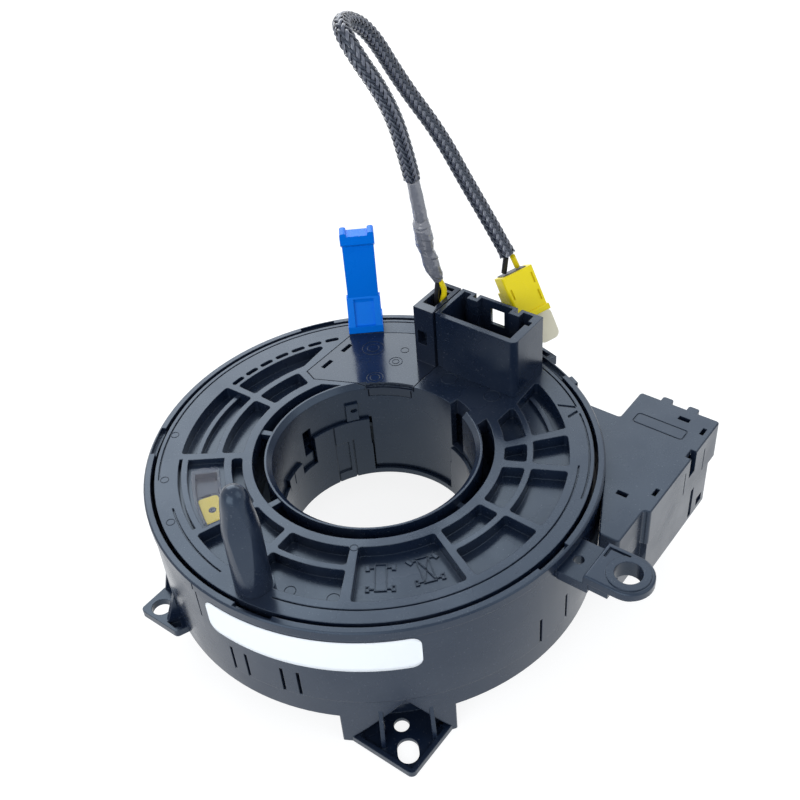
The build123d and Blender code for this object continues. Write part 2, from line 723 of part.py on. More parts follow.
def tab_side(points, half_width):
    """A side view of the tab, drawn from its inner edge and the disc's top, and made half_width thick each way."""
    placed = [(tab_inner_radius + along, rim_top + up) for along, up in points]
    return Rot(90, 0, 0) * extrude(make_face(Polyline(placed, close=True)), half_width, both=True)


def make_lock_tab():
    half = tab_width / 2
    strip_half = tab_strip_width / 2
    strip_in = 3.4
    strip_out = strip_in + tab_strip_thick
    foot_top = rim_top + tab_foot
    tab = block(tab_inner_radius, tab_outer_radius, -half, half, rim_top, foot_top)
    tab += block(tab_outer_radius - past, rim_radius - 0.4, -half, half, rim_top + running_gap, foot_top)
    wedge = tab_side([(0, tab_foot), (strip_in, tab_wedge), (strip_out, tab_wedge), (tab_depth, tab_foot)], half - 0.2)
    wedge -= tab_side([(-1, tab_foot), (0.7, tab_foot), (strip_in + 0.5, tab_wedge - 0.6), (0, tab_wedge - 0.6)], half - 2.1)
    tab += wedge
    tab += tab_side([(strip_in, tab_foot), (strip_in, tab_rise - 1), (strip_out, tab_rise - 1), (strip_out, tab_foot)],
                    strip_half)
    tab += tab_side([(strip_out, tab_rise - 5.4), (strip_in, tab_rise - 5.4), (1.2, tab_rise - 3.6),
                     (1.2, tab_rise - 1), (strip_out, tab_rise - 1)], strip_half + 0.3)
    for side in (-1, 1):
        ear = Pos(tab_inner_radius + 3.0, side * (strip_half - 0.6), rim_top + tab_rise - 1.6) * Box(3.6, 1.8, 3.2)
        tab += fillet(ear.edges().filter_by(Axis.X).sort_by(Axis.Z)[-2:], 0.7)
    tab += block(prong_inner_radius, prong_inner_radius + prong_thick, -prong_width / 2, prong_width / 2,
                 rim_top - prong_length, rim_top)
    return tab_shape_turned(tab)


# Hub sleeve, clipped into the hub from below, and the clip over it
slot_start = 75.6
slot_end = 131.8
slot_sill = 1.6


def make_hub_sleeve():
    profile = [
        (bore_radius, 0), (flange_radius, 0), (flange_radius, flange_thick), (hub_outer_radius, flange_thick),
        (hub_outer_radius, hub_bottom - 0.1), (sleeve_outer_radius, hub_bottom - 0.1), (sleeve_outer_radius, 11.4),
        (bore_radius, 11.4),
    ]
    sleeve = Rot(0, 0, slot_end) * turned(profile)
    for start, end, top in ((201.0, 300.0, 13.0), (330.0, 434.5, 16.8)):
        sleeve += sector(bore_radius, sleeve_outer_radius, start, end, past, top)
    for start, end, top in ((132.4, 170.9, 20.2), (171.7, 183.2, 11.4), (183.9, 200.6, 15.2)):
        sleeve += sector(bore_radius, hub_outer_radius - 0.1, start, end, past, top)
    sleeve -= sector(bore_radius - past, hub_outer_radius + 0.2, slot_start, slot_end, slot_sill, rim_top)
    sleeve -= sector(bore_radius - past, bore_radius + 0.5, 147.4, 156.0, 3.0, 13.6)
    sleeve -= sector(bore_radius - past, bore_radius + 0.4, 143.9, 144.8, 0, 14.0)
    for angle, low in ((156.0, -past), (193.0, 11.4)):
        sleeve -= sector(bore_radius - past, bore_radius + 0.3, angle, angle + 0.8, low, rim_top)
    return sleeve


def make_hub_clip():
    start, end = 138.6, 146.6
    clip = sector(bore_radius + running_gap, hub_inner_radius - nest_gap, start, end, 20.2, 26.0)
    x, y = at_angle(hub_inner_radius, (start + end) / 2)
    return clip - Pos(x, y, 23.8) * Rot(0, 90, (start + end) / 2) * Cylinder(0.7, 6)


# Flat cable and what leads it
def cable_arcs(offset):
    """Half turns about two centres that lie half a step apart, which makes an even spiral."""
    step = cable_pitch / 2
    arcs = []
    for index in range(cable_turns * 2):
        centre_x = -step / 2 if index % 2 == 0 else step / 2
        start = 0 if index % 2 == 0 else 180
        arcs.append(CenterArc((centre_x, 0), cable_inner_radius + step * index + offset, start, 180))
    return arcs


def make_flat_cable():
    inner = cable_arcs(0)
    outer = cable_arcs(cable_thick)
    outline = Line(inner[0] @ 0, outer[0] @ 0) + Line(inner[-1] @ 1, outer[-1] @ 1)
    for arc in inner + outer:
        outline += arc
    return Pos(0, 0, cable_low) * extrude(make_face(outline), cable_height)


def make_inner_cable_block():
    outer = cable_inner_radius - cable_pitch / 2
    cable_block = sector(drum_outer_radius + nest_gap, outer, 324.0, 344.0, cable_low, cable_low + cable_height)
    return upright_rounded(cable_block, 0.4)


def make_outer_cable_block():
    low = skirt_bottom + lip_height + seam_gap
    return sector(cable_outer_radius + 0.5, rim_inner_radius - nest_gap, 20.0, 42.0, low, low + 13.0)


def make_sheet(z0):
    return ring(lip_inner_radius - running_gap, drum_outer_radius + 0.8, z0, z0 + sheet_thick)


# Side box
def box_outline(inset, z0, z1):
    right = box_right - inset
    front_right = box_front_right - inset
    left = box_inner_side + inset
    shoulder = box_shoulder - inset
    skirt_x, skirt_y = at_angle(box_clear_radius, box_side_angle)
    hidden_x = skirt_x / 3
    outline = [
        (hidden_x, shoulder), (left, shoulder), (left, box_far - inset), (right, box_far - inset),
        (right, box_step + inset), (front_right, box_step + inset), (front_right, box_near + inset),
        (box_front_left + inset, box_near + inset), (skirt_x + inset, skirt_y), (hidden_x, skirt_y + 3),
    ]
    return prism(outline, z0, z1, box_corner) - post(0, 0, box_clear_radius + inset, z0 - past, z1 + past)


def make_side_box_cover():
    cover = box_outline(0, box_seam + seam_gap, box_top)
    cover = chamfer(cover.faces().sort_by(Axis.Z)[-1].edges(), 0.25)
    cover -= box_outline(box_wall, box_seam - past, box_top - box_wall)
    for left in (16.2, 9.0):
        bump = block(box_right - left, box_right - left + 2.9, box_far - 0.5, box_far + 1.5, box_top - 6.0, box_top)
        cover += fillet(bump.edges().filter_by(Axis.Z).sort_by(Axis.Y)[-2:], 0.6)
    slots = ((9.4, 3.0, 4.6, 1.4), (2.4, 1.0, 7.0, 2.6), (9.8, 2.8, 36.7, 1.4), (2.5, 1.0, 32.6, 2.6))
    for left, width, back, depth in slots:
        x0 = box_right - left
        y0 = box_far - back
        cover -= block(x0, x0 + width, y0, y0 + depth, box_top - 3, box_top + past)
    cover -= panel_groove(box_right - 18.8, box_far - 11.5, 13.9, 4.0)
    notch_y = box_far - 16.4
    cover -= block(box_right - 1.6, box_right + past, notch_y, notch_y + 3.2, box_top - 6.5, box_top + past)
    for line_y, low in ((notch_y - 2.3, box_seam + 1), (notch_y + 8.4, box_seam + 1)):
        cover -= block(box_right - line_depth, box_right + past, line_y - line_width / 2, line_y + line_width / 2,
                       low, box_top - 3)
    return cover


def panel_groove(x0, y0, width, depth):
    """A shallow groove round a bare panel with rounded corners."""
    middle = Pos(x0 + width / 2, y0 + depth / 2, box_top - 0.2)
    outer = extrude(RectangleRounded(width, depth, 1.0), past)
    inner = extrude(RectangleRounded(width - 0.6, depth - 0.6, 0.7), past)
    return middle * (outer - inner)


def make_side_box_base():
    right = box_right - base_setback
    base = block(box_inner_side + 1.4, right, box_step + 0.6, base_far, box_bottom, box_seam)
    base += block(box_front_left + 0.6, box_front_right - base_setback, box_near + 1.6, box_step + 1.0,
                  box_bottom + 6, box_seam)
    for socket in side_sockets:
        x0, y0, y1 = socket
        base -= block(x0, socket_wall_x, y0, y1, box_bottom - past, box_bottom + 9.5)
    base -= block(box_right - 18.4, box_right - 2.8, box_step + 3.4, base_far - 2.6, box_bottom + 11.0, box_seam + past)
    base -= block(right - line_depth, right + past, box_far - 12.8, box_far - 11.1, box_bottom + 1, box_bottom + 10.8)
    base -= block(right - 0.8, right + past, box_far - 8.2, box_far - 5.1, box_bottom + 1.6, box_bottom + 4.2)
    for x, y in pin_places():
        base -= block(x, x + pin_size, y, y + pin_size, box_bottom, box_top)
    return base - post(0, 0, box_clear_radius, 0, box_top)


# Both sockets: the left side, the near side and the far side
socket_wall_x = box_right - 2.6
near_bank = box_step + 2.6
far_bank = near_bank + socket_bank + socket_gap
side_sockets = ((box_right - 11.9, near_bank, near_bank + socket_bank), (box_right - 18.6, far_bank, base_far - 2.8))


def pin_places():
    places = []
    for x0, y0, y1 in side_sockets:
        spacing = (y1 - y0 - 3.6) / (pins_per_row - 1)
        for share in (0.3, 0.7):
            row_x = x0 + (socket_wall_x - x0) * share - pin_size / 2
            places += [(row_x, y0 + 1.8 + spacing * index) for index in range(pins_per_row)]
    return places


def make_side_pins():
    pins = [
        block(x, x + pin_size, y, y + pin_size, box_bottom + 5.2, box_bottom + 12.2) for x, y in pin_places()
    ]
    return Compound(children=pins)


def make_terminal_board():
    board = block(box_right - 17.8, box_right - 3.4, box_step + 4.0, base_far - 3.2, box_bottom + 12.2, box_bottom + 13.4)
    return board - post(0, 0, box_clear_radius + seam_gap, 0, box_top)


# Harness
def corner_radii(points):
    radii = []
    for before, corner, after in zip(points, points[1:], points[2:]):
        run_in = Vector(*corner) - Vector(*before)
        run_out = Vector(*after) - Vector(*corner)
        turn = radians(run_in.get_angle(run_out))
        shorter = min(run_in.length, run_out.length)
        radii.append(0.45 * shorter / tan(turn / 2))
    return radii


def tube_along(path, outer, inner=0.0):
    section = Circle(outer / 2)
    if inner:
        section -= Circle(inner / 2)
    start = Plane(path @ 0, z_dir=path % 0)
    return sweep(start * section, path)


def make_braided_sleeve():
    radii = corner_radii(harness_route)
    print("harness radii", [round(radius, 1) for radius in radii])
    path = FilletPolyline(*harness_route, radius=radii)
    tube = tube_along(path, harness_diameter)
    section = pi * (harness_diameter / 2) ** 2
    print("harness length", round(path.length, 1), "tube volume over section", round(tube.volume / section, 1))
    return tube


def make_tape_wrap():
    radii = corner_radii(harness_route)
    points = harness_route[: tape_runs + 1]
    last = Vector(*points[-1])
    previous = Vector(*points[-2])
    points[-1] = tuple(previous + (last - previous) * tape_last_share)
    path = FilletPolyline(*points, radius=radii[: tape_runs - 1])
    return tube_along(path, tape_diameter, harness_diameter + nest_gap * 2)


def straight_wire(start, end, diameter):
    return tube_along(Line(start, end), diameter)


def lead_wires():
    """Two wires rise from the lead box into the sleeve."""
    x, y, z = harness_route[0]
    along = (Vector(*harness_route[1]) - Vector(x, y, z)).normalized()
    lead_centre = (lead_left + lead_wall + lead_right - 1.2) / 2
    wires = []
    for side in (-1, 1):
        shift = Vector(0.9 * side, 0.2 * side, 0)
        top = Vector(x, y, z) + shift - along * 0.65
        bottom = Vector(lead_centre, y + 0.4, rim_top + 4.0) + shift
        wires.append(straight_wire(bottom, top, wire_diameter))
    return wires


def plug_place():
    return Plane(origin=plug_top, x_dir=plug_across, z_dir=plug_up).location


def make_plug_shell():
    half_width = plug_width / 2
    half_depth = plug_depth / 2
    shell = Pos(0, 0, -plug_length / 2) * Box(plug_width, plug_depth, plug_length)
    shell = upright_rounded(shell, 0.7)
    shell -= Pos(0, 0, -plug_length / 2) * Box(plug_width - plug_wall * 2, plug_depth - plug_wall * 2, plug_length + 1)
    shell -= block(-half_width - 1, -half_width + 2.6, half_depth - 2.0, half_depth + 1, -4.2, 1)
    shell -= block(half_width - 2.0, half_width + 1, half_depth - 2.0, half_depth + 1, -3.0, 1)
    for x0, z0 in ((-half_width + 0.9, -6.6), (half_width - 1.4, -4.6), (half_width - 1.4, -9.6)):
        shell -= block(x0, x0 + 0.5, -half_depth - 1, -half_depth + 0.5, z0, z0 + 2.8)
    lip = block(-half_width + 1.2, half_width, -half_depth - 0.7, -half_depth + 0.2, -plug_length, -plug_length + 1.6)
    shell += fillet(lip.edges().filter_by(Axis.X).sort_by(Axis.Y)[0:2], 0.3)
    return plug_place() * shell


def make_plug_insert():
    inset = plug_wall * 2 + nest_gap * 2
    insert = Pos(0, 0, -plug_length / 2 + 0.4) * Box(plug_width - inset, plug_depth - inset, plug_length - 0.4)
    return plug_place() * upright_rounded(insert, 0.4)


def plug_wires():
    """Two wires leave the sleeve's end and enter the plug."""
    end = Vector(*harness_route[-1])
    along = (end - Vector(*harness_route[-2])).normalized()
    wires = []
    for side in (-1, 1):
        target = (plug_place() * Pos(2.1 * side, 0, 0.75)).position
        start = end + Vector(0.55 * side, 0.75 * side, 0) + along * 0.85
        wires.append(straight_wire(start, target, wire_diameter - 0.2))
    return wires


def make_flag_tape():
    flag = fillet(Box(6.4, 0.5, 8.6).edges().filter_by(Axis.Y), 1.8)
    return plug_place() * Pos(plug_width / 2 - 1.6, 0, -plug_length - 4.5) * flag


def save(shape, node):
    export_step(shape, f"parts/{node}.step")


def main():
    os.makedirs("parts", exist_ok=True)
    save(make_upper_housing(), "upper_housing")
    save(make_lower_housing(), "lower_housing")
    save(make_rotor_disc(), "rotor_disc")
    save(make_airbag_socket(), "airbag_socket")
    save(make_socket_pins(), "socket_pins")
    save(make_lead_cover(), "lead_cover")
    save(make_indicator_window(), "indicator_window")
    save(make_wheel_plate(), "wheel_plate")
    save(make_indicator_wheel(), "indicator_wheel")
    save(make_indicator_flag(), "indicator_flag")
    save(make_drive_peg(), "drive_peg")
    save(make_lock_tab(), "lock_tab")
    save(make_hub_sleeve(), "hub_sleeve")
    save(make_hub_clip(), "hub_clip")
    save(make_flat_cable(), "flat_cable")
    save(make_inner_cable_block(), "inner_cable_block")
    save(make_outer_cable_block(), "outer_cable_block")
    save(make_sheet(disc_underside - sheet_thick), "upper_slide_sheet")
    save(make_sheet(floor_thick), "lower_slide_sheet")
    save(make_side_box_cover(), "side_box_cover")
    save(make_side_box_base(), "side_box_base")
    save(make_side_pins(), "side_pins")
    save(make_terminal_board(), "terminal_board")
    save(make_braided_sleeve(), "braided_sleeve")
    save(make_tape_wrap(), "tape_wrap")
    for wire, node in zip(lead_wires(), ("lead_wire_black", "lead_wire_yellow")):
        save(wire, node)
    for wire, node in zip(plug_wires(), ("plug_wire_black", "plug_wire_yellow")):
        save(wire, node)
    save(make_plug_shell(), "plug_shell")
    save(make_plug_insert(), "plug_insert")
    save(make_flag_tape(), "flag_tape")


main()
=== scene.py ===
import bpy
import bmesh
import json
import math
from mathutils import Matrix, Vector, noise


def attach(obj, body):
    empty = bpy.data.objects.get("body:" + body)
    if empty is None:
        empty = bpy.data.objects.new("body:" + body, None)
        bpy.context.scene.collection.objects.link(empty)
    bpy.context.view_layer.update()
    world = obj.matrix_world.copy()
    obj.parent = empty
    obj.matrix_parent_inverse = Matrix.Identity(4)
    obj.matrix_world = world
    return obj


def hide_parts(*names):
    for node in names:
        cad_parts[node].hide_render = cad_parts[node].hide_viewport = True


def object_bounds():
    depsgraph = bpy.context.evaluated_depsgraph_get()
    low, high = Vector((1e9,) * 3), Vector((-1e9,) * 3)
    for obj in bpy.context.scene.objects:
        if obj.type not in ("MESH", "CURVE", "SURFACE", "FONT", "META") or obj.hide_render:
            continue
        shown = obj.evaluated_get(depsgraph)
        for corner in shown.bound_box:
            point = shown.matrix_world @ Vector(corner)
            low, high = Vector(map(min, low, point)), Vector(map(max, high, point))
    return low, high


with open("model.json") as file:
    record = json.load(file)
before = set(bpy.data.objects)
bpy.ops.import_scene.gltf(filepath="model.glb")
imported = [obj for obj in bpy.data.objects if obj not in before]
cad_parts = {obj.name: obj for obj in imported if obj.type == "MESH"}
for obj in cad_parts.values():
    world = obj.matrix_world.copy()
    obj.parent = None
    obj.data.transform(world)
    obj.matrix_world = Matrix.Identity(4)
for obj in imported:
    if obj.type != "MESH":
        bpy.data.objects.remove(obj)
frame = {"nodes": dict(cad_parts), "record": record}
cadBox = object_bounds()
mm = 0.001
print("frame loaded")

# The photograph's camera: it looks across the turning axis from the front left
photoView = {
    "place": (0.13584, -0.14984, 0.21651),
    "heading": math.radians(40),  # about +Z, from looking along +Y
    "elevation": 0.699216,
    "roll": -0.087027,
    "lens": 49.51,
    "sensor": 36.0,
    "nearest": 0.01,
    "furthest": 20,
}


def addCamera():
    data = bpy.data.cameras.new("photoCamera")
    data.lens = photoView["lens"]
    data.sensor_width = photoView["sensor"]
    data.clip_start = photoView["nearest"]
    data.clip_end = photoView["furthest"]
    camera = bpy.data.objects.new("photoCamera", data)
    turn = Matrix.Rotation(photoView["heading"], 4, "Z")
    tilt = Matrix.Rotation(math.pi / 2 - photoView["elevation"], 4, "X")
    roll = Matrix.Rotation(photoView["roll"], 4, "Z")
    camera.matrix_world = Matrix.Translation(photoView["place"]) @ turn @ tilt @ roll
    bpy.context.collection.objects.link(camera)
    bpy.context.scene.camera = camera


addCamera()
print("camera placed")


def objectFrom(name, bm, body, smooth=True):
    bmesh.ops.recalc_face_normals(bm, faces=bm.faces)
    mesh = bpy.data.meshes.new(name)
    bm.to_mesh(mesh)
    bm.free()
    for polygon in mesh.polygons:
        polygon.use_smooth = smooth
    piece = bpy.data.objects.new(name, mesh)
    bpy.context.collection.objects.link(piece)
    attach(piece, body)
    return piece


lineSteps = 32  # points on a line from one of its places to the next


def splinePoints(name, places):
    data = bpy.data.curves.new(name, "CURVE")
    data.dimensions = "3D"
    spline = data.splines.new("NURBS")
    spline.points.add(len(places) - 1)
    for point, place in zip(spline.points, places):
        point.co = (place[0] * mm, place[1] * mm, place[2] * mm, 1)
    spline.order_u = 3
    spline.use_endpoint_u = True
    spline.resolution_u = lineSteps
    holder = bpy.data.objects.new(name, data)
    line = bpy.data.meshes.new_from_object(holder)
    points = [vertex.co.copy() for vertex in line.vertices]
    bpy.data.objects.remove(holder)
    bpy.data.curves.remove(data)
    bpy.data.meshes.remove(line)
    return points


def evenPoints(points, step):
    total = sum((b - a).length for a, b in zip(points, points[1:]))
    count = round(total / step)
    gap = total / count
    even = [points[0].copy()]
    travelled = 0
    for a, b in zip(points, points[1:]):
        span = (b - a).length
        while span > 0 and len(even) <= count and travelled + span >= gap * len(even) - 1e-9:
            even.append(a.lerp(b, min((gap * len(even) - travelled) / span, 1)))
        travelled += span
    return even, gap


def pathFrames(points):
    frames = []
    side = (points[1] - points[0]).orthogonal().normalized()
    for index, point in enumerate(points):
        ahead = points[min(index + 1, len(points) - 1)]
        behind = points[max(index - 1, 0)]
        along = (ahead - behind).normalized()
        side = (side - along * side.dot(along)).normalized()
        frames.append((point, along, side, along.cross(side)))
    return frames


def ringTube(bm, frames, gap, sides, radiusAt):
    rings = []
    for index, (point, along, side, up) in enumerate(frames):
        ring = []
        for k in range(sides):
            angle = math.tau * k / sides
            radius = radiusAt(index * gap / mm, angle) * mm
            outward = side * math.cos(angle) + up * math.sin(angle)
            ring.append(bm.verts.new(point + outward * radius))
        rings.append(ring)
    for low, high in zip(rings, rings[1:]):
        for k in range(sides):
            after = (k + 1) % sides
            bm.faces.new((low[k], low[after], high[after], high[k]))
    bm.faces.new(rings[0][::-1])
    bm.faces.new(rings[-1])


def onTable(table, distance):
    for (a, low), (b, high) in zip(table, table[1:]):
        if distance <= b:
            share = min(max((distance - a) / (b - a), 0), 1)
            share = share * share * (3 - 2 * share)
            return low + (high - low) * share
    return table[-1][1]


# The harness: a braided sleeve that rises from the lead box, loops over and hangs to the plug, in mm
harness = {
    "places": [
        (-9.0, 42.7, 54.0), (-10.8, 40.4, 63.1), (-10.1, 38.1, 75.1), (-10.2, 35.3, 90.1),
        (-11.6, 31.5, 107.4), (-17.6, 25.7, 122.7), (-25.2, 32.2, 124.6), (-26.4, 43.1, 118.9),
        (-23.4, 51.2, 101.9), (-15.9, 55.5, 88.6), (-9.4, 57.3, 75.8), (-2.7, 58.2, 65.1),
        (2.1, 58.9, 56.7),
    ],
    "step": 0.25,
    "diameter": 4.2,
    "meanRadius": 1.9,
    "coreRadius": 1.5,
    "coreSides": 14,
    "carriers": 10,  # threads each way round
    "pitch": 18.0,
    "weave": 0.22,
    "threadWidth": 0.80,
    "threadFlat": 0.35,  # share of the thread's half width that is flat
    "crown": 0.14,
    "frayed": 2.0,
    "flare": 0.1,
}
# The tape round the sleeve's start, in mm; its radii go by the distance from there
tape = {
    "length": 33.6,
    "radii": [
        (0, 1.1), (2, 1.6), (5.8, 2.0), (10.3, 1.75), (13, 2.3), (15, 2.5), (19.2, 2.45), (21, 2.1),
        (25.6, 2.0), (33.6, 1.78),
    ],
    "sides": 40,
    "cover": 0.2,  # over the sleeve
    "flatness": 0.82,
    "twistStart": 8,
    "twistLength": 10,
    "woundEnd": 20,  # wound up to here, laid lengthwise after it
    "lap": 7.0,
    "lapStep": 0.3,
    "seamStep": 0.14,
    "seamTurn": 0.9,
    "seamSpan": 2.2,
    "creases": (19.1, 21.2),
    "creaseDepth": 0.3,
    "creaseWidth": 0.4,
    "wrinkle": 0.16,
    "wrinkleRound": 2.2,
    "wrinkleSlant": 0.9,
    "wrinkleAlong": 0.8,
}
harnessLine = splinePoints("harnessLine", harness["places"])
harnessPath, harnessGap = evenPoints(harnessLine, harness["step"] * mm)
harnessFrames = pathFrames(harnessPath)
harnessLength = harnessGap * (len(harnessPath) - 1)


def sleeveScale(distance):
    scale = 1
    if distance < tape["length"]:
        room = onTable(tape["radii"], distance) * tape["flatness"] - tape["cover"]
        scale = min(1, room / (harness["diameter"] / 2))
    fromEnd = harnessLength / mm - distance
    if fromEnd < harness["frayed"]:
        scale *= 1 + harness["flare"] * (1 - fromEnd / harness["frayed"])
    return scale


def addThread(bm, carrier, way):
    rows = []
    turn = math.tau * carrier / harness["carriers"]
    crossing = harness["pitch"] / (2 * harness["carriers"])
    slope = way * math.tau / (harness["pitch"] * mm)
    half = harness["threadWidth"] / 2 * mm
    crown, flat = harness["crown"], harness["threadFlat"]
    for index, (point, along, side, up) in enumerate(harnessFrames):
        distance = index * harnessGap / mm
        angle = turn + slope * distance * mm
        outward = side * math.cos(angle) + up * math.sin(angle)
        around = up * math.cos(angle) - side * math.sin(angle)
        passed = 2 * carrier + way * distance / crossing - 0.5  # over two threads, under two
        lift = way * harness["weave"] * math.cos(math.pi / 2 * passed)
        scale = sleeveScale(distance)
        radius = (harness["meanRadius"] + lift) * scale * mm
        course = (along + around * radius * slope).normalized()
        across = course.cross(outward)
        row = []
        for offset, drop in ((-1, crown), (-flat, 0), (flat, 0), (1, crown)):
            place = point + outward * (radius - drop * mm) + across * (offset * half * scale)
            row.append(bm.verts.new(place))
        rows.append(row)
    for low, high in zip(rows, rows[1:]):
        for k in range(len(low) - 1):
            face = bm.faces.new((low[k], low[k + 1], high[k + 1], high[k]))
            face.material_index = 0 if way > 0 else 2  # painted highlight on the threads one way, painted shade on the threads the other way


def coreRadius(distance, angle):
    return harness["coreRadius"] * sleeveScale(distance)


def makeSleeve():
    bm = bmesh.new()
    for carrier in range(harness["carriers"]):
        addThread(bm, carrier, 1)
        addThread(bm, carrier, -1)
    first = len(bm.faces)
    ringTube(bm, harnessFrames, harnessGap, harness["coreSides"], coreRadius)
    bm.faces.ensure_lookup_table()
    for face in bm.faces[first:]:
        face.material_index = 1
    sleeve = objectFrom("harnessSleeve", bm, "rotor")
    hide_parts("braided_sleeve")
    return sleeve


def tapeRadius(distance, angle):
    radius = onTable(tape["radii"], distance)
    twisted = min(max((distance - tape["twistStart"]) / tape["twistLength"], 0), 1)
    shape = 1 - (1 - tape["flatness"]) * math.sin(angle + math.pi / 2 * twisted) ** 2
    lap = seam = 0
    if distance < tape["woundEnd"]:
        lap = tape["lapStep"] * (1 - (distance / tape["lap"] + angle / math.tau) % 1)
    elif (angle + tape["seamTurn"]) % math.tau < tape["seamSpan"]:
        seam = tape["seamStep"]
    crease = 0
    for place in tape["creases"]:
        crease += tape["creaseDepth"] * max(0, 1 - abs(distance - place) / tape["creaseWidth"])
    fold = tape["wrinkleSlant"] * math.cos(angle) + tape["wrinkleAlong"] * distance
    spot = (tape["wrinkleRound"] * math.cos(angle), tape["wrinkleRound"] * math.sin(angle), fold)
    wrinkle = tape["wrinkle"] * noise.noise(Vector(spot))
    return radius * shape + lap + seam - crease + wrinkle


def makeTape():
    bm = bmesh.new()
    count = round(tape["length"] * mm / harnessGap)
    ringTube(bm, harnessFrames[:count], harnessGap, tape["sides"], tapeRadius)
    wrap = objectFrom("harnessTape", bm, "rotor")
    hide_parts("tape_wrap")
    return wrap


# The two wires from the lead box up into the tape, in mm
wires = {
    "step": 0.3,
    "sides": 20,
    "yellowLead": {
        "node": "lead_wire_yellow",
        "slot": "yellow_wire",
        "diameter": 1.5,
        "places": [
            (-8.9, 42.8, 54.6), (-8.2, 43.2, 52.6), (-7.7, 43.5, 50.4), (-8.3, 43.0, 47.6),
            (-9.0, 42.6, 44.0),
        ],
    },
    "blackLead": {
        "node": "lead_wire_black",
        "slot": "black_wire",
        "diameter": 1.4,
        "places": [(-9.1, 42.6, 54.6), (-9.3, 42.3, 51.5), (-9.6, 42.1, 48.5), (-9.6, 42.2, 44.0)],
    },
}


def makeWire(name):
    data = wires[name]
    bm = bmesh.new()
    points, gap = evenPoints(splinePoints(name, data["places"]), wires["step"] * mm)
    ringTube(bm, pathFrames(points), gap, wires["sides"], lambda distance, angle: data["diameter"] / 2)
    wire = objectFrom(name, bm, "rotor")
    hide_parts(data["node"])
    return wire


sleevePiece = makeSleeve()
tapePiece = makeTape()
yellowLead = makeWire("yellowLead")
blackLead = makeWire("blackLead")
print("harness made", round(harnessLength, 4))

# The bare label round the skirt, in degrees about the axis and in mm
label = {
    "start": -94.4,
    "end": -42.0,
    "low": 18.0,
    "high": 27.9,
    "skirtRadius": 56.6,
    "gap": 0.01,
    "thickness": 0.12,  # with the gap
    "corner": 2.5,
    "columns": 72,
    "rows": 8,
}


def cornerInset(toEnd):
    if toEnd >= label["corner"]:
        return 0
    return label["corner"] - math.sqrt(label["corner"] ** 2 - (label["corner"] - toEnd) ** 2)


def addLabelShell(bm, radius):
    shell = []
    span = math.radians(label["end"] - label["start"])
    width = span * label["skirtRadius"]
    for column in range(label["columns"] + 1):
        share = 0.5 - 0.5 * math.cos(math.pi * column / label["columns"])  # closer near the ends
        inset = cornerInset(min(share, 1 - share) * width)
        tall = label["high"] - label["low"] - 2 * inset
        angle = math.radians(label["start"]) + span * share
        strip = []
        for row in range(label["rows"] + 1):
            height = label["low"] + inset + tall * row / label["rows"]
            place = Vector((radius * math.cos(angle), radius * math.sin(angle), height)) * mm
            strip.append(bm.verts.new(place))
        shell.append(strip)
    for a, b in zip(shell, shell[1:]):
        for row in range(label["rows"]):
            bm.faces.new((a[row], a[row + 1], b[row + 1], b[row]))
    return shell


def makeLabel():
    bm = bmesh.new()
    inner = addLabelShell(bm, label["skirtRadius"] + label["gap"])
    outer = addLabelShell(bm, label["skirtRadius"] + label["thickness"])
    for a, b, c, d in zip(inner, inner[1:], outer, outer[1:]):
        for row in (0, -1):
            bm.faces.new((a[row], b[row], d[row], c[row]))
    for near, far in ((inner[0], outer[0]), (inner[-1], outer[-1])):
        for row in range(label["rows"]):
            bm.faces.new((near[row], near[row + 1], far[row + 1], far[row]))
    return objectFrom("skirtLabel", bm, "stator")


labelPiece = makeLabel()
print("label made")

# Two raised pictures of a chassis seen from above, on the floors of the disc's windows, in mm
chassis = {
    "floor": 28.3,
    "height": 0.3,
    "sunk": 0.04,
    "line": 0.3,
    "wheel": (1.0, 1.65),
    "wheelLine": 0.25,
    "crossInset": 0.72,
    "pictures": {
        "chassisMark1": {
            "centre": (25.2, -30.05),
            "turn": 36.9,
            "body": (2.9, 8.0),
            "axles": (2.8, -3.3),
            "track": 5.9,
            "steer": 0,
            "crossed": False,
        },
        "chassisMark2": {
            "centre": (32.3, -22.5),
            "turn": 53.1,
            "body": (3.1, 7.6),
            "axles": (3.1, -3.2),
            "track": 6.1,
            "steer": 32,
            "crossed": True,
        },
    },
}


def addBar(bm, picture, middle, size, spin=0):
    x, y = picture["centre"]
    height, sunk = chassis["height"], chassis["sunk"]
    whole = Matrix.Translation((x * mm, y * mm, 0)) @ Matrix.Rotation(math.radians(picture["turn"]), 4, "Z")
    middleUp = chassis["floor"] + (height - sunk) / 2
    local = Matrix.Translation((middle[0] * mm, middle[1] * mm, middleUp * mm))
    spun = Matrix.Rotation(math.radians(spin), 4, "Z")
    sizes = Matrix.Diagonal((size[0] * mm, size[1] * mm, (height + sunk) * mm, 1))
    bmesh.ops.create_cube(bm, size=1, matrix=whole @ local @ spun @ sizes)


def addWheel(bm, picture, x, y):
    wide, long = chassis["wheel"]
    line = chassis["wheelLine"]
    if y > 0:  # a front wheel is solid and steers
        addBar(bm, picture, (x, y), (wide, long), picture["steer"])
        return
    for side in (-1, 1):
        addBar(bm, picture, (x + side * (wide - line) / 2, y), (line, long))
        addBar(bm, picture, (x, y + side * (long - line) / 2), (wide - 2 * line, line))


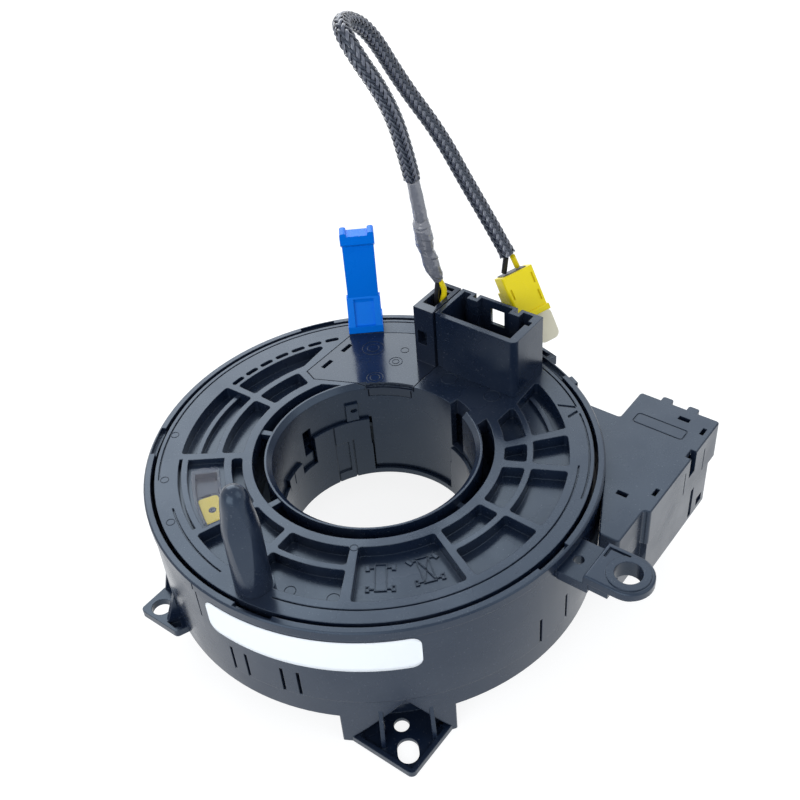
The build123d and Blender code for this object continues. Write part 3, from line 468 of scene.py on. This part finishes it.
def makeChassis(name, picture):
    bm = bmesh.new()
    line = chassis["line"]
    wide, long = picture["body"]
    for way in (-1, 1):
        addBar(bm, picture, (way * (wide - line) / 2, 0), (line, long))
        addBar(bm, picture, (0, way * (long - line) / 2), (wide - 2 * line, line))
    reach = (picture["track"] - chassis["wheel"][0] - wide) / 2
    for axle in picture["axles"]:
        for way in (-1, 1):
            addBar(bm, picture, (way * (wide + reach) / 2, axle), (reach, line))
            addWheel(bm, picture, way * picture["track"] / 2, axle)
    if picture["crossed"]:
        slant = math.degrees(math.atan2(wide - line, long - line))
        for way in (-1, 1):
            addBar(bm, picture, (0, 0), (line, math.hypot(wide, long) - chassis["crossInset"]), way * slant)
    return objectFrom(name, bm, "rotor", smooth=False)


chassisPieces = [makeChassis(name, picture) for name, picture in chassis["pictures"].items()]

# Thin raised rings that the mould left, in mm: place x and y, radius, height of the face
ringMarks = {
    "discRings": {
        "slot": "black_plastic",
        "rings": [
            (0.3, 32.8, 2.2, 31.5), (13.8, 32.8, 2.2, 31.5), (-46.4, -23.5, 1.0, 31.5),
            (-36.5, -36.7, 1.0, 31.5), (-24.8, -46.0, 1.0, 31.5), (16.6, -28.4, 0.9, 31.5),
            (10.6, -44.2, 1.3, 28.3), (20.2, -40.6, 1.5, 28.3),
        ],
    },
    "coverRings": {
        "slot": "gloss_black_plastic",
        "rings": [
            (-25.3, 32.6, 3.0, 31.5), (-25.3, 32.6, 1.6, 31.5), (-16.9, 22.6, 2.2, 31.5),
            (-16.9, 22.6, 1.3, 31.5), (-16.3, 31.1, 1.8, 31.5), (-16.3, 31.1, 0.9, 31.5),
            (-17.2, 36.5, 1.1, 31.5),
        ],
    },
}
ringProfile = ((-0.11, -0.03), (-0.07, 0.08), (0.07, 0.08), (0.11, -0.03))  # across and up
ringSteps = 40


def addRing(bm, ring):
    x, y, radius, height = ring
    section = []
    for across, up in ringProfile:
        section.append(bm.verts.new(Vector((x + radius + across, y, height + up)) * mm))
    edges = [bm.edges.new((a, b)) for a, b in zip(section, section[1:] + section[:1])]
    bmesh.ops.spin(
        bm, geom=section + edges, cent=(x * mm, y * mm, 0), axis=(0, 0, 1), angle=math.tau,
        steps=ringSteps, use_merge=True,
    )


def makeRings(name, data):
    bm = bmesh.new()
    for ring in data["rings"]:
        addRing(bm, ring)
    return objectFrom(name, bm, "rotor")


ringPieces = [makeRings(name, data) for name, data in ringMarks.items()]
print("marks made")

# Looks of the finishes: colours as linear light, edges in mm
looks = {
    "black_plastic": {
        "colour": (0.006, 0.012, 0.029), "roughness": (0.19, 0.33), "specular": 0.55, "grain": 0.22,
        "edge": 0.3, "dust": 0.10, "tint": (0.62, 0.80, 1.0),
    },
    "gloss_black_plastic": {
        "colour": (0.008, 0.013, 0.028), "roughness": (0.10, 0.17), "specular": 0.5, "grain": 0.05,
        "edge": 0.25, "dust": 0.07, "tint": (0.66, 0.82, 1.0),
    },
    "clear_plastic": {"colour": (0.09, 0.10, 0.15), "roughness": (0.05, 0.09), "alpha": 0.18},
    "pale_yellow_plastic": {"colour": (0.30, 0.26, 0.05), "roughness": (0.45, 0.55), "grain": 0.1},
    "blue_plastic": {
        "colour": (0.0005, 0.175, 0.82), "roughness": (0.24, 0.32), "specular": 0.25, "grain": 0.15,
        "edge": 0.2, "tint": (0.3, 0.75, 1.0),
    },
    "yellow_plastic": {
        "colour": (0.84, 0.70, 0.004), "roughness": (0.26, 0.36), "specular": 0.25, "grain": 0.1,
        "edge": 0.2,
    },
    "grey_plastic": {"colour": (0.05, 0.055, 0.07), "roughness": (0.42, 0.5), "grain": 0.2},
    "cable_film": {"colour": (0.6, 0.5, 0.35), "roughness": (0.28, 0.32)},
    "slide_film": {"colour": (0.6, 0.6, 0.58), "roughness": (0.38, 0.42)},
    "board_laminate": {"colour": (0.03, 0.2, 0.06), "roughness": (0.38, 0.42)},
    "terminal_metal": {"colour": (0.7, 0.66, 0.58), "roughness": (0.25, 0.35), "metallic": 1.0},
    # The sleeve's threads that run one way: their black is lightened into a painted highlight, standing for
    # the glints
    "black_braid": {
        "colour": (0.070, 0.078, 0.110), "roughness": (0.12, 0.22), "specular": 1.0, "grain": 0.4,
        "tint": (0.85, 0.92, 1.0),
    },
    "grey_tape": {
        "colour": (0.16, 0.17, 0.205), "roughness": (0.18, 0.34), "specular": 0.9, "grain": 0.25,
    },
    "cream_tape": {"colour": (0.78, 0.75, 0.60), "roughness": (0.65, 0.75), "grain": 0.4},
    "black_wire": {"colour": (0.010, 0.011, 0.014), "roughness": (0.36, 0.42)},
    "yellow_wire": {"colour": (0.76, 0.62, 0.006), "roughness": (0.34, 0.40)},
    "label_paper": {"colour": (0.86, 0.91, 0.96), "roughness": (0.42, 0.5), "grain": 0.1},
    # The threads that run the other way: the same black is darkened into a painted shade
    "braid_painted_shade": {
        "colour": (0.008, 0.012, 0.024), "roughness": (0.20, 0.30), "specular": 0.7, "grain": 0.4,
        "tint": (0.75, 0.85, 1.0),
    },
    "braid_core": {"colour": (0.004, 0.005, 0.008), "roughness": (0.6, 0.7)},
}
# Noise behind the finishes; low and high bound what shows of it
patterns = {
    "smudge": {"scale": 70, "detail": 4, "low": 0.35, "high": 0.65},
    "specks": {"scale": 1900, "detail": 2, "low": 0.66, "high": 0.74, "share": 2},
    "film": {"scale": 45, "detail": 5, "low": 0.45, "high": 0.75, "share": 0.6},
    "grain": {"scale": 3200, "detail": 3, "depth": 0.03},
    "dustColour": (0.20, 0.22, 0.25, 1),
    "edgeSamples": 4,
}


def noiseNode(tree, pattern):
    coords = tree.nodes.new("ShaderNodeTexCoord")
    node = tree.nodes.new("ShaderNodeTexNoise")
    node.inputs["Scale"].default_value = pattern["scale"]
    node.inputs["Detail"].default_value = pattern["detail"]
    tree.links.new(coords.outputs["Object"], node.inputs["Vector"])
    return node.outputs["Fac"]


def mappedRange(tree, value, fromLow, fromHigh, toLow, toHigh):
    node = tree.nodes.new("ShaderNodeMapRange")
    node.inputs["From Min"].default_value = fromLow
    node.inputs["From Max"].default_value = fromHigh
    node.inputs["To Min"].default_value = toLow
    node.inputs["To Max"].default_value = toHigh
    tree.links.new(value, node.inputs["Value"])
    return node.outputs["Result"]


def patternRange(tree, pattern, toLow, toHigh):
    return mappedRange(tree, noiseNode(tree, pattern), pattern["low"], pattern["high"], toLow, toHigh)


def mixedColour(tree, factor, first, second):
    mix = tree.nodes.new("ShaderNodeMix")
    mix.data_type = "RGBA"
    mix.inputs["A"].default_value = first
    mix.inputs["B"].default_value = second
    tree.links.new(factor, mix.inputs["Factor"])
    return mix.outputs["Result"]


def addDust(tree, shader, look):
    specks, film = patterns["specks"], patterns["film"]
    total = tree.nodes.new("ShaderNodeMath")
    tree.links.new(patternRange(tree, specks, 0, look["dust"] * specks["share"]), total.inputs[0])
    tree.links.new(patternRange(tree, film, 0, look["dust"] * film["share"]), total.inputs[1])
    colour = mixedColour(tree, total.outputs[0], (*look["colour"], 1), patterns["dustColour"])
    tree.links.new(colour, shader.inputs["Base Color"])


def addSurface(tree, shader, look):
    normal = None
    if "edge" in look:
        edge = tree.nodes.new("ShaderNodeBevel")
        edge.samples = patterns["edgeSamples"]
        edge.inputs["Radius"].default_value = look["edge"] * mm
        normal = edge.outputs["Normal"]
    if "grain" in look:
        bump = tree.nodes.new("ShaderNodeBump")
        bump.inputs["Strength"].default_value = look["grain"]
        bump.inputs["Distance"].default_value = patterns["grain"]["depth"] * mm
        tree.links.new(noiseNode(tree, patterns["grain"]), bump.inputs["Height"])
        if normal:
            tree.links.new(normal, bump.inputs["Normal"])
        normal = bump.outputs["Normal"]
    if normal:
        tree.links.new(normal, shader.inputs["Normal"])


def makeMaterial(name, look):
    material = bpy.data.materials.new(name)
    material.use_nodes = True
    tree = material.node_tree
    shader = tree.nodes["Principled BSDF"]
    shader.inputs["Base Color"].default_value = (*look["colour"], 1)
    shader.inputs["Metallic"].default_value = look.get("metallic", 0)
    shader.inputs["Specular IOR Level"].default_value = look.get("specular", 0.5)
    shader.inputs["Specular Tint"].default_value = (*look.get("tint", (1, 1, 1)), 1)
    shader.inputs["Alpha"].default_value = look.get("alpha", 1)
    smudge = patternRange(tree, patterns["smudge"], *look["roughness"])
    tree.links.new(smudge, shader.inputs["Roughness"])
    if "dust" in look:
        addDust(tree, shader, look)
    addSurface(tree, shader, look)
    return material


# The turns flag is pale on one side of a line across it and greyish violet on the other, in metres
flagLook = {
    "pale": (0.92, 0.76, 0.10, 1),
    "violet": (0.95, 0.93, 1.0, 1),
    "across": (-0.534, 0.845, 0),
    "offset": -0.01250,
    "blur": 1e-5,
    "roughness": 0.5,
}


def makeFlagMaterial():
    material = bpy.data.materials.new("flagTwoTone")
    material.use_nodes = True
    tree = material.node_tree
    shader = tree.nodes["Principled BSDF"]
    shader.inputs["Roughness"].default_value = flagLook["roughness"]
    coords = tree.nodes.new("ShaderNodeTexCoord")
    across = tree.nodes.new("ShaderNodeVectorMath")
    across.operation = "DOT_PRODUCT"
    across.inputs[1].default_value = flagLook["across"]
    tree.links.new(coords.outputs["Object"], across.inputs[0])
    start, end = flagLook["offset"] - flagLook["blur"], flagLook["offset"] + flagLook["blur"]
    share = mappedRange(tree, across.outputs["Value"], start, end, 0, 1)
    colour = mixedColour(tree, share, flagLook["pale"], flagLook["violet"])
    tree.links.new(colour, shader.inputs["Base Color"])
    return material


materials = {name: makeMaterial(name, look) for name, look in looks.items()}
materials["flagTwoTone"] = makeFlagMaterial()
nodeLooks = {"indicator_flag": "flagTwoTone"}
for part in frame["record"]["subparts"]:
    node = frame["nodes"][part["node"]]
    material = materials[nodeLooks.get(part["node"], part["material_slot"])]
    for index in range(len(node.material_slots)):
        node.material_slots[index].material = material
ownLooks = [
    (sleevePiece, ["black_braid", "braid_core", "braid_painted_shade"]), (tapePiece, ["grey_tape"]),
    (yellowLead, ["yellow_wire"]), (blackLead, ["black_wire"]), (labelPiece, ["label_paper"]),
]
ownLooks += [(piece, ["black_plastic"]) for piece in chassisPieces]
ownLooks += [(piece, [data["slot"]]) for piece, data in zip(ringPieces, ringMarks.values())]
for piece, names in ownLooks:
    for name in names:
        piece.data.materials.append(materials[name])
print("finishes given")

# The studio, in metres and watts
studio = {
    "worldColour": (0.93, 0.96, 1, 1),
    "worldLevel": 0.62,
    "aim": (0, 0, 0.03),
    "lamps": {
        "keyLamp": {"place": (-0.45, 0.25, 0.42), "power": 2.4, "size": 0.5},
        "fillLamp": {"place": (0.42, 0.12, 0.40), "power": 0.5, "size": 0.4},
        "frontLamp": {"place": (0.12, -0.62, 0.22), "power": 2.3, "size": 0.6},
        "backLamp": {"place": (-0.10, 0.50, 0.43), "power": 0.55, "size": 0.32},
    },
    "floorGap": 0.0001,
    "floorSize": 4.0,
    "floorColour": (0.80, 0.82, 0.84, 1),
    "floorShade": (0.26, 0.27, 0.28, 1),  # what the camera sees: this shade and the glow
    "floorGlow": 0.85,
}


def seenFactor(tree):
    path = tree.nodes.new("ShaderNodeLightPath")
    mirrored = tree.nodes.new("ShaderNodeMath")
    mirrored.operation = "MAXIMUM"
    seen = tree.nodes.new("ShaderNodeMath")
    seen.operation = "MAXIMUM"
    tree.links.new(path.outputs["Is Glossy Ray"], mirrored.inputs[0])
    tree.links.new(path.outputs["Is Transmission Ray"], mirrored.inputs[1])
    tree.links.new(path.outputs["Is Camera Ray"], seen.inputs[0])
    tree.links.new(mirrored.outputs[0], seen.inputs[1])
    return seen.outputs[0]


def mixedShader(tree, factor, first, second):
    mix = tree.nodes.new("ShaderNodeMixShader")
    tree.links.new(factor, mix.inputs[0])
    tree.links.new(first, mix.inputs[1])
    tree.links.new(second, mix.inputs[2])
    return mix.outputs[0]


def lightWorld():
    world = bpy.data.worlds.new("studioWorld")
    world.use_nodes = True
    tree = world.node_tree
    tree.nodes.clear()
    plain = tree.nodes.new("ShaderNodeBackground")
    plain.inputs["Color"].default_value = studio["worldColour"]
    plain.inputs["Strength"].default_value = studio["worldLevel"]
    white = tree.nodes.new("ShaderNodeBackground")
    white.inputs["Color"].default_value = (1, 1, 1, 1)
    white.inputs["Strength"].default_value = 1
    out = tree.nodes.new("ShaderNodeOutputWorld")
    surface = mixedShader(tree, seenFactor(tree), plain.outputs[0], white.outputs[0])
    tree.links.new(surface, out.inputs["Surface"])
    bpy.context.scene.world = world


def addLamp(name, lamp):
    data = bpy.data.lights.new(name, "AREA")
    data.energy = lamp["power"]
    data.size = lamp["size"]
    holder = bpy.data.objects.new(name, data)
    holder.location = lamp["place"]
    backwards = Vector(lamp["place"]) - Vector(studio["aim"])
    holder.rotation_euler = backwards.to_track_quat("Z", "Y").to_euler()
    bpy.context.collection.objects.link(holder)


def diffuseNode(tree, colour):
    node = tree.nodes.new("ShaderNodeBsdfDiffuse")
    node.inputs["Color"].default_value = colour
    return node.outputs[0]


def floorMaterial():
    material = bpy.data.materials.new("paleFloor")
    material.use_nodes = True
    tree = material.node_tree
    tree.nodes.clear()
    glow = tree.nodes.new("ShaderNodeEmission")
    glow.inputs["Strength"].default_value = studio["floorGlow"]
    both = tree.nodes.new("ShaderNodeAddShader")
    tree.links.new(diffuseNode(tree, studio["floorShade"]), both.inputs[0])
    tree.links.new(glow.outputs[0], both.inputs[1])
    out = tree.nodes.new("ShaderNodeOutputMaterial")
    plain = diffuseNode(tree, studio["floorColour"])
    surface = mixedShader(tree, seenFactor(tree), plain, both.outputs[0])
    tree.links.new(surface, out.inputs["Surface"])
    return material


def addFloor():
    bm = bmesh.new()
    lowest = Matrix.Translation((0, 0, cadBox[0][2] - studio["floorGap"]))
    bmesh.ops.create_grid(bm, x_segments=1, y_segments=1, size=studio["floorSize"] / 2, matrix=lowest)
    mesh = bpy.data.meshes.new("floor")
    bm.to_mesh(mesh)
    bm.free()
    mesh.materials.append(floorMaterial())
    floor = bpy.data.objects.new("floor", mesh)
    bpy.context.collection.objects.link(floor)


lightWorld()
for name, lamp in studio["lamps"].items():
    addLamp(name, lamp)
addFloor()
bpy.context.scene.view_settings.view_transform = "Standard"
print("studio lit")
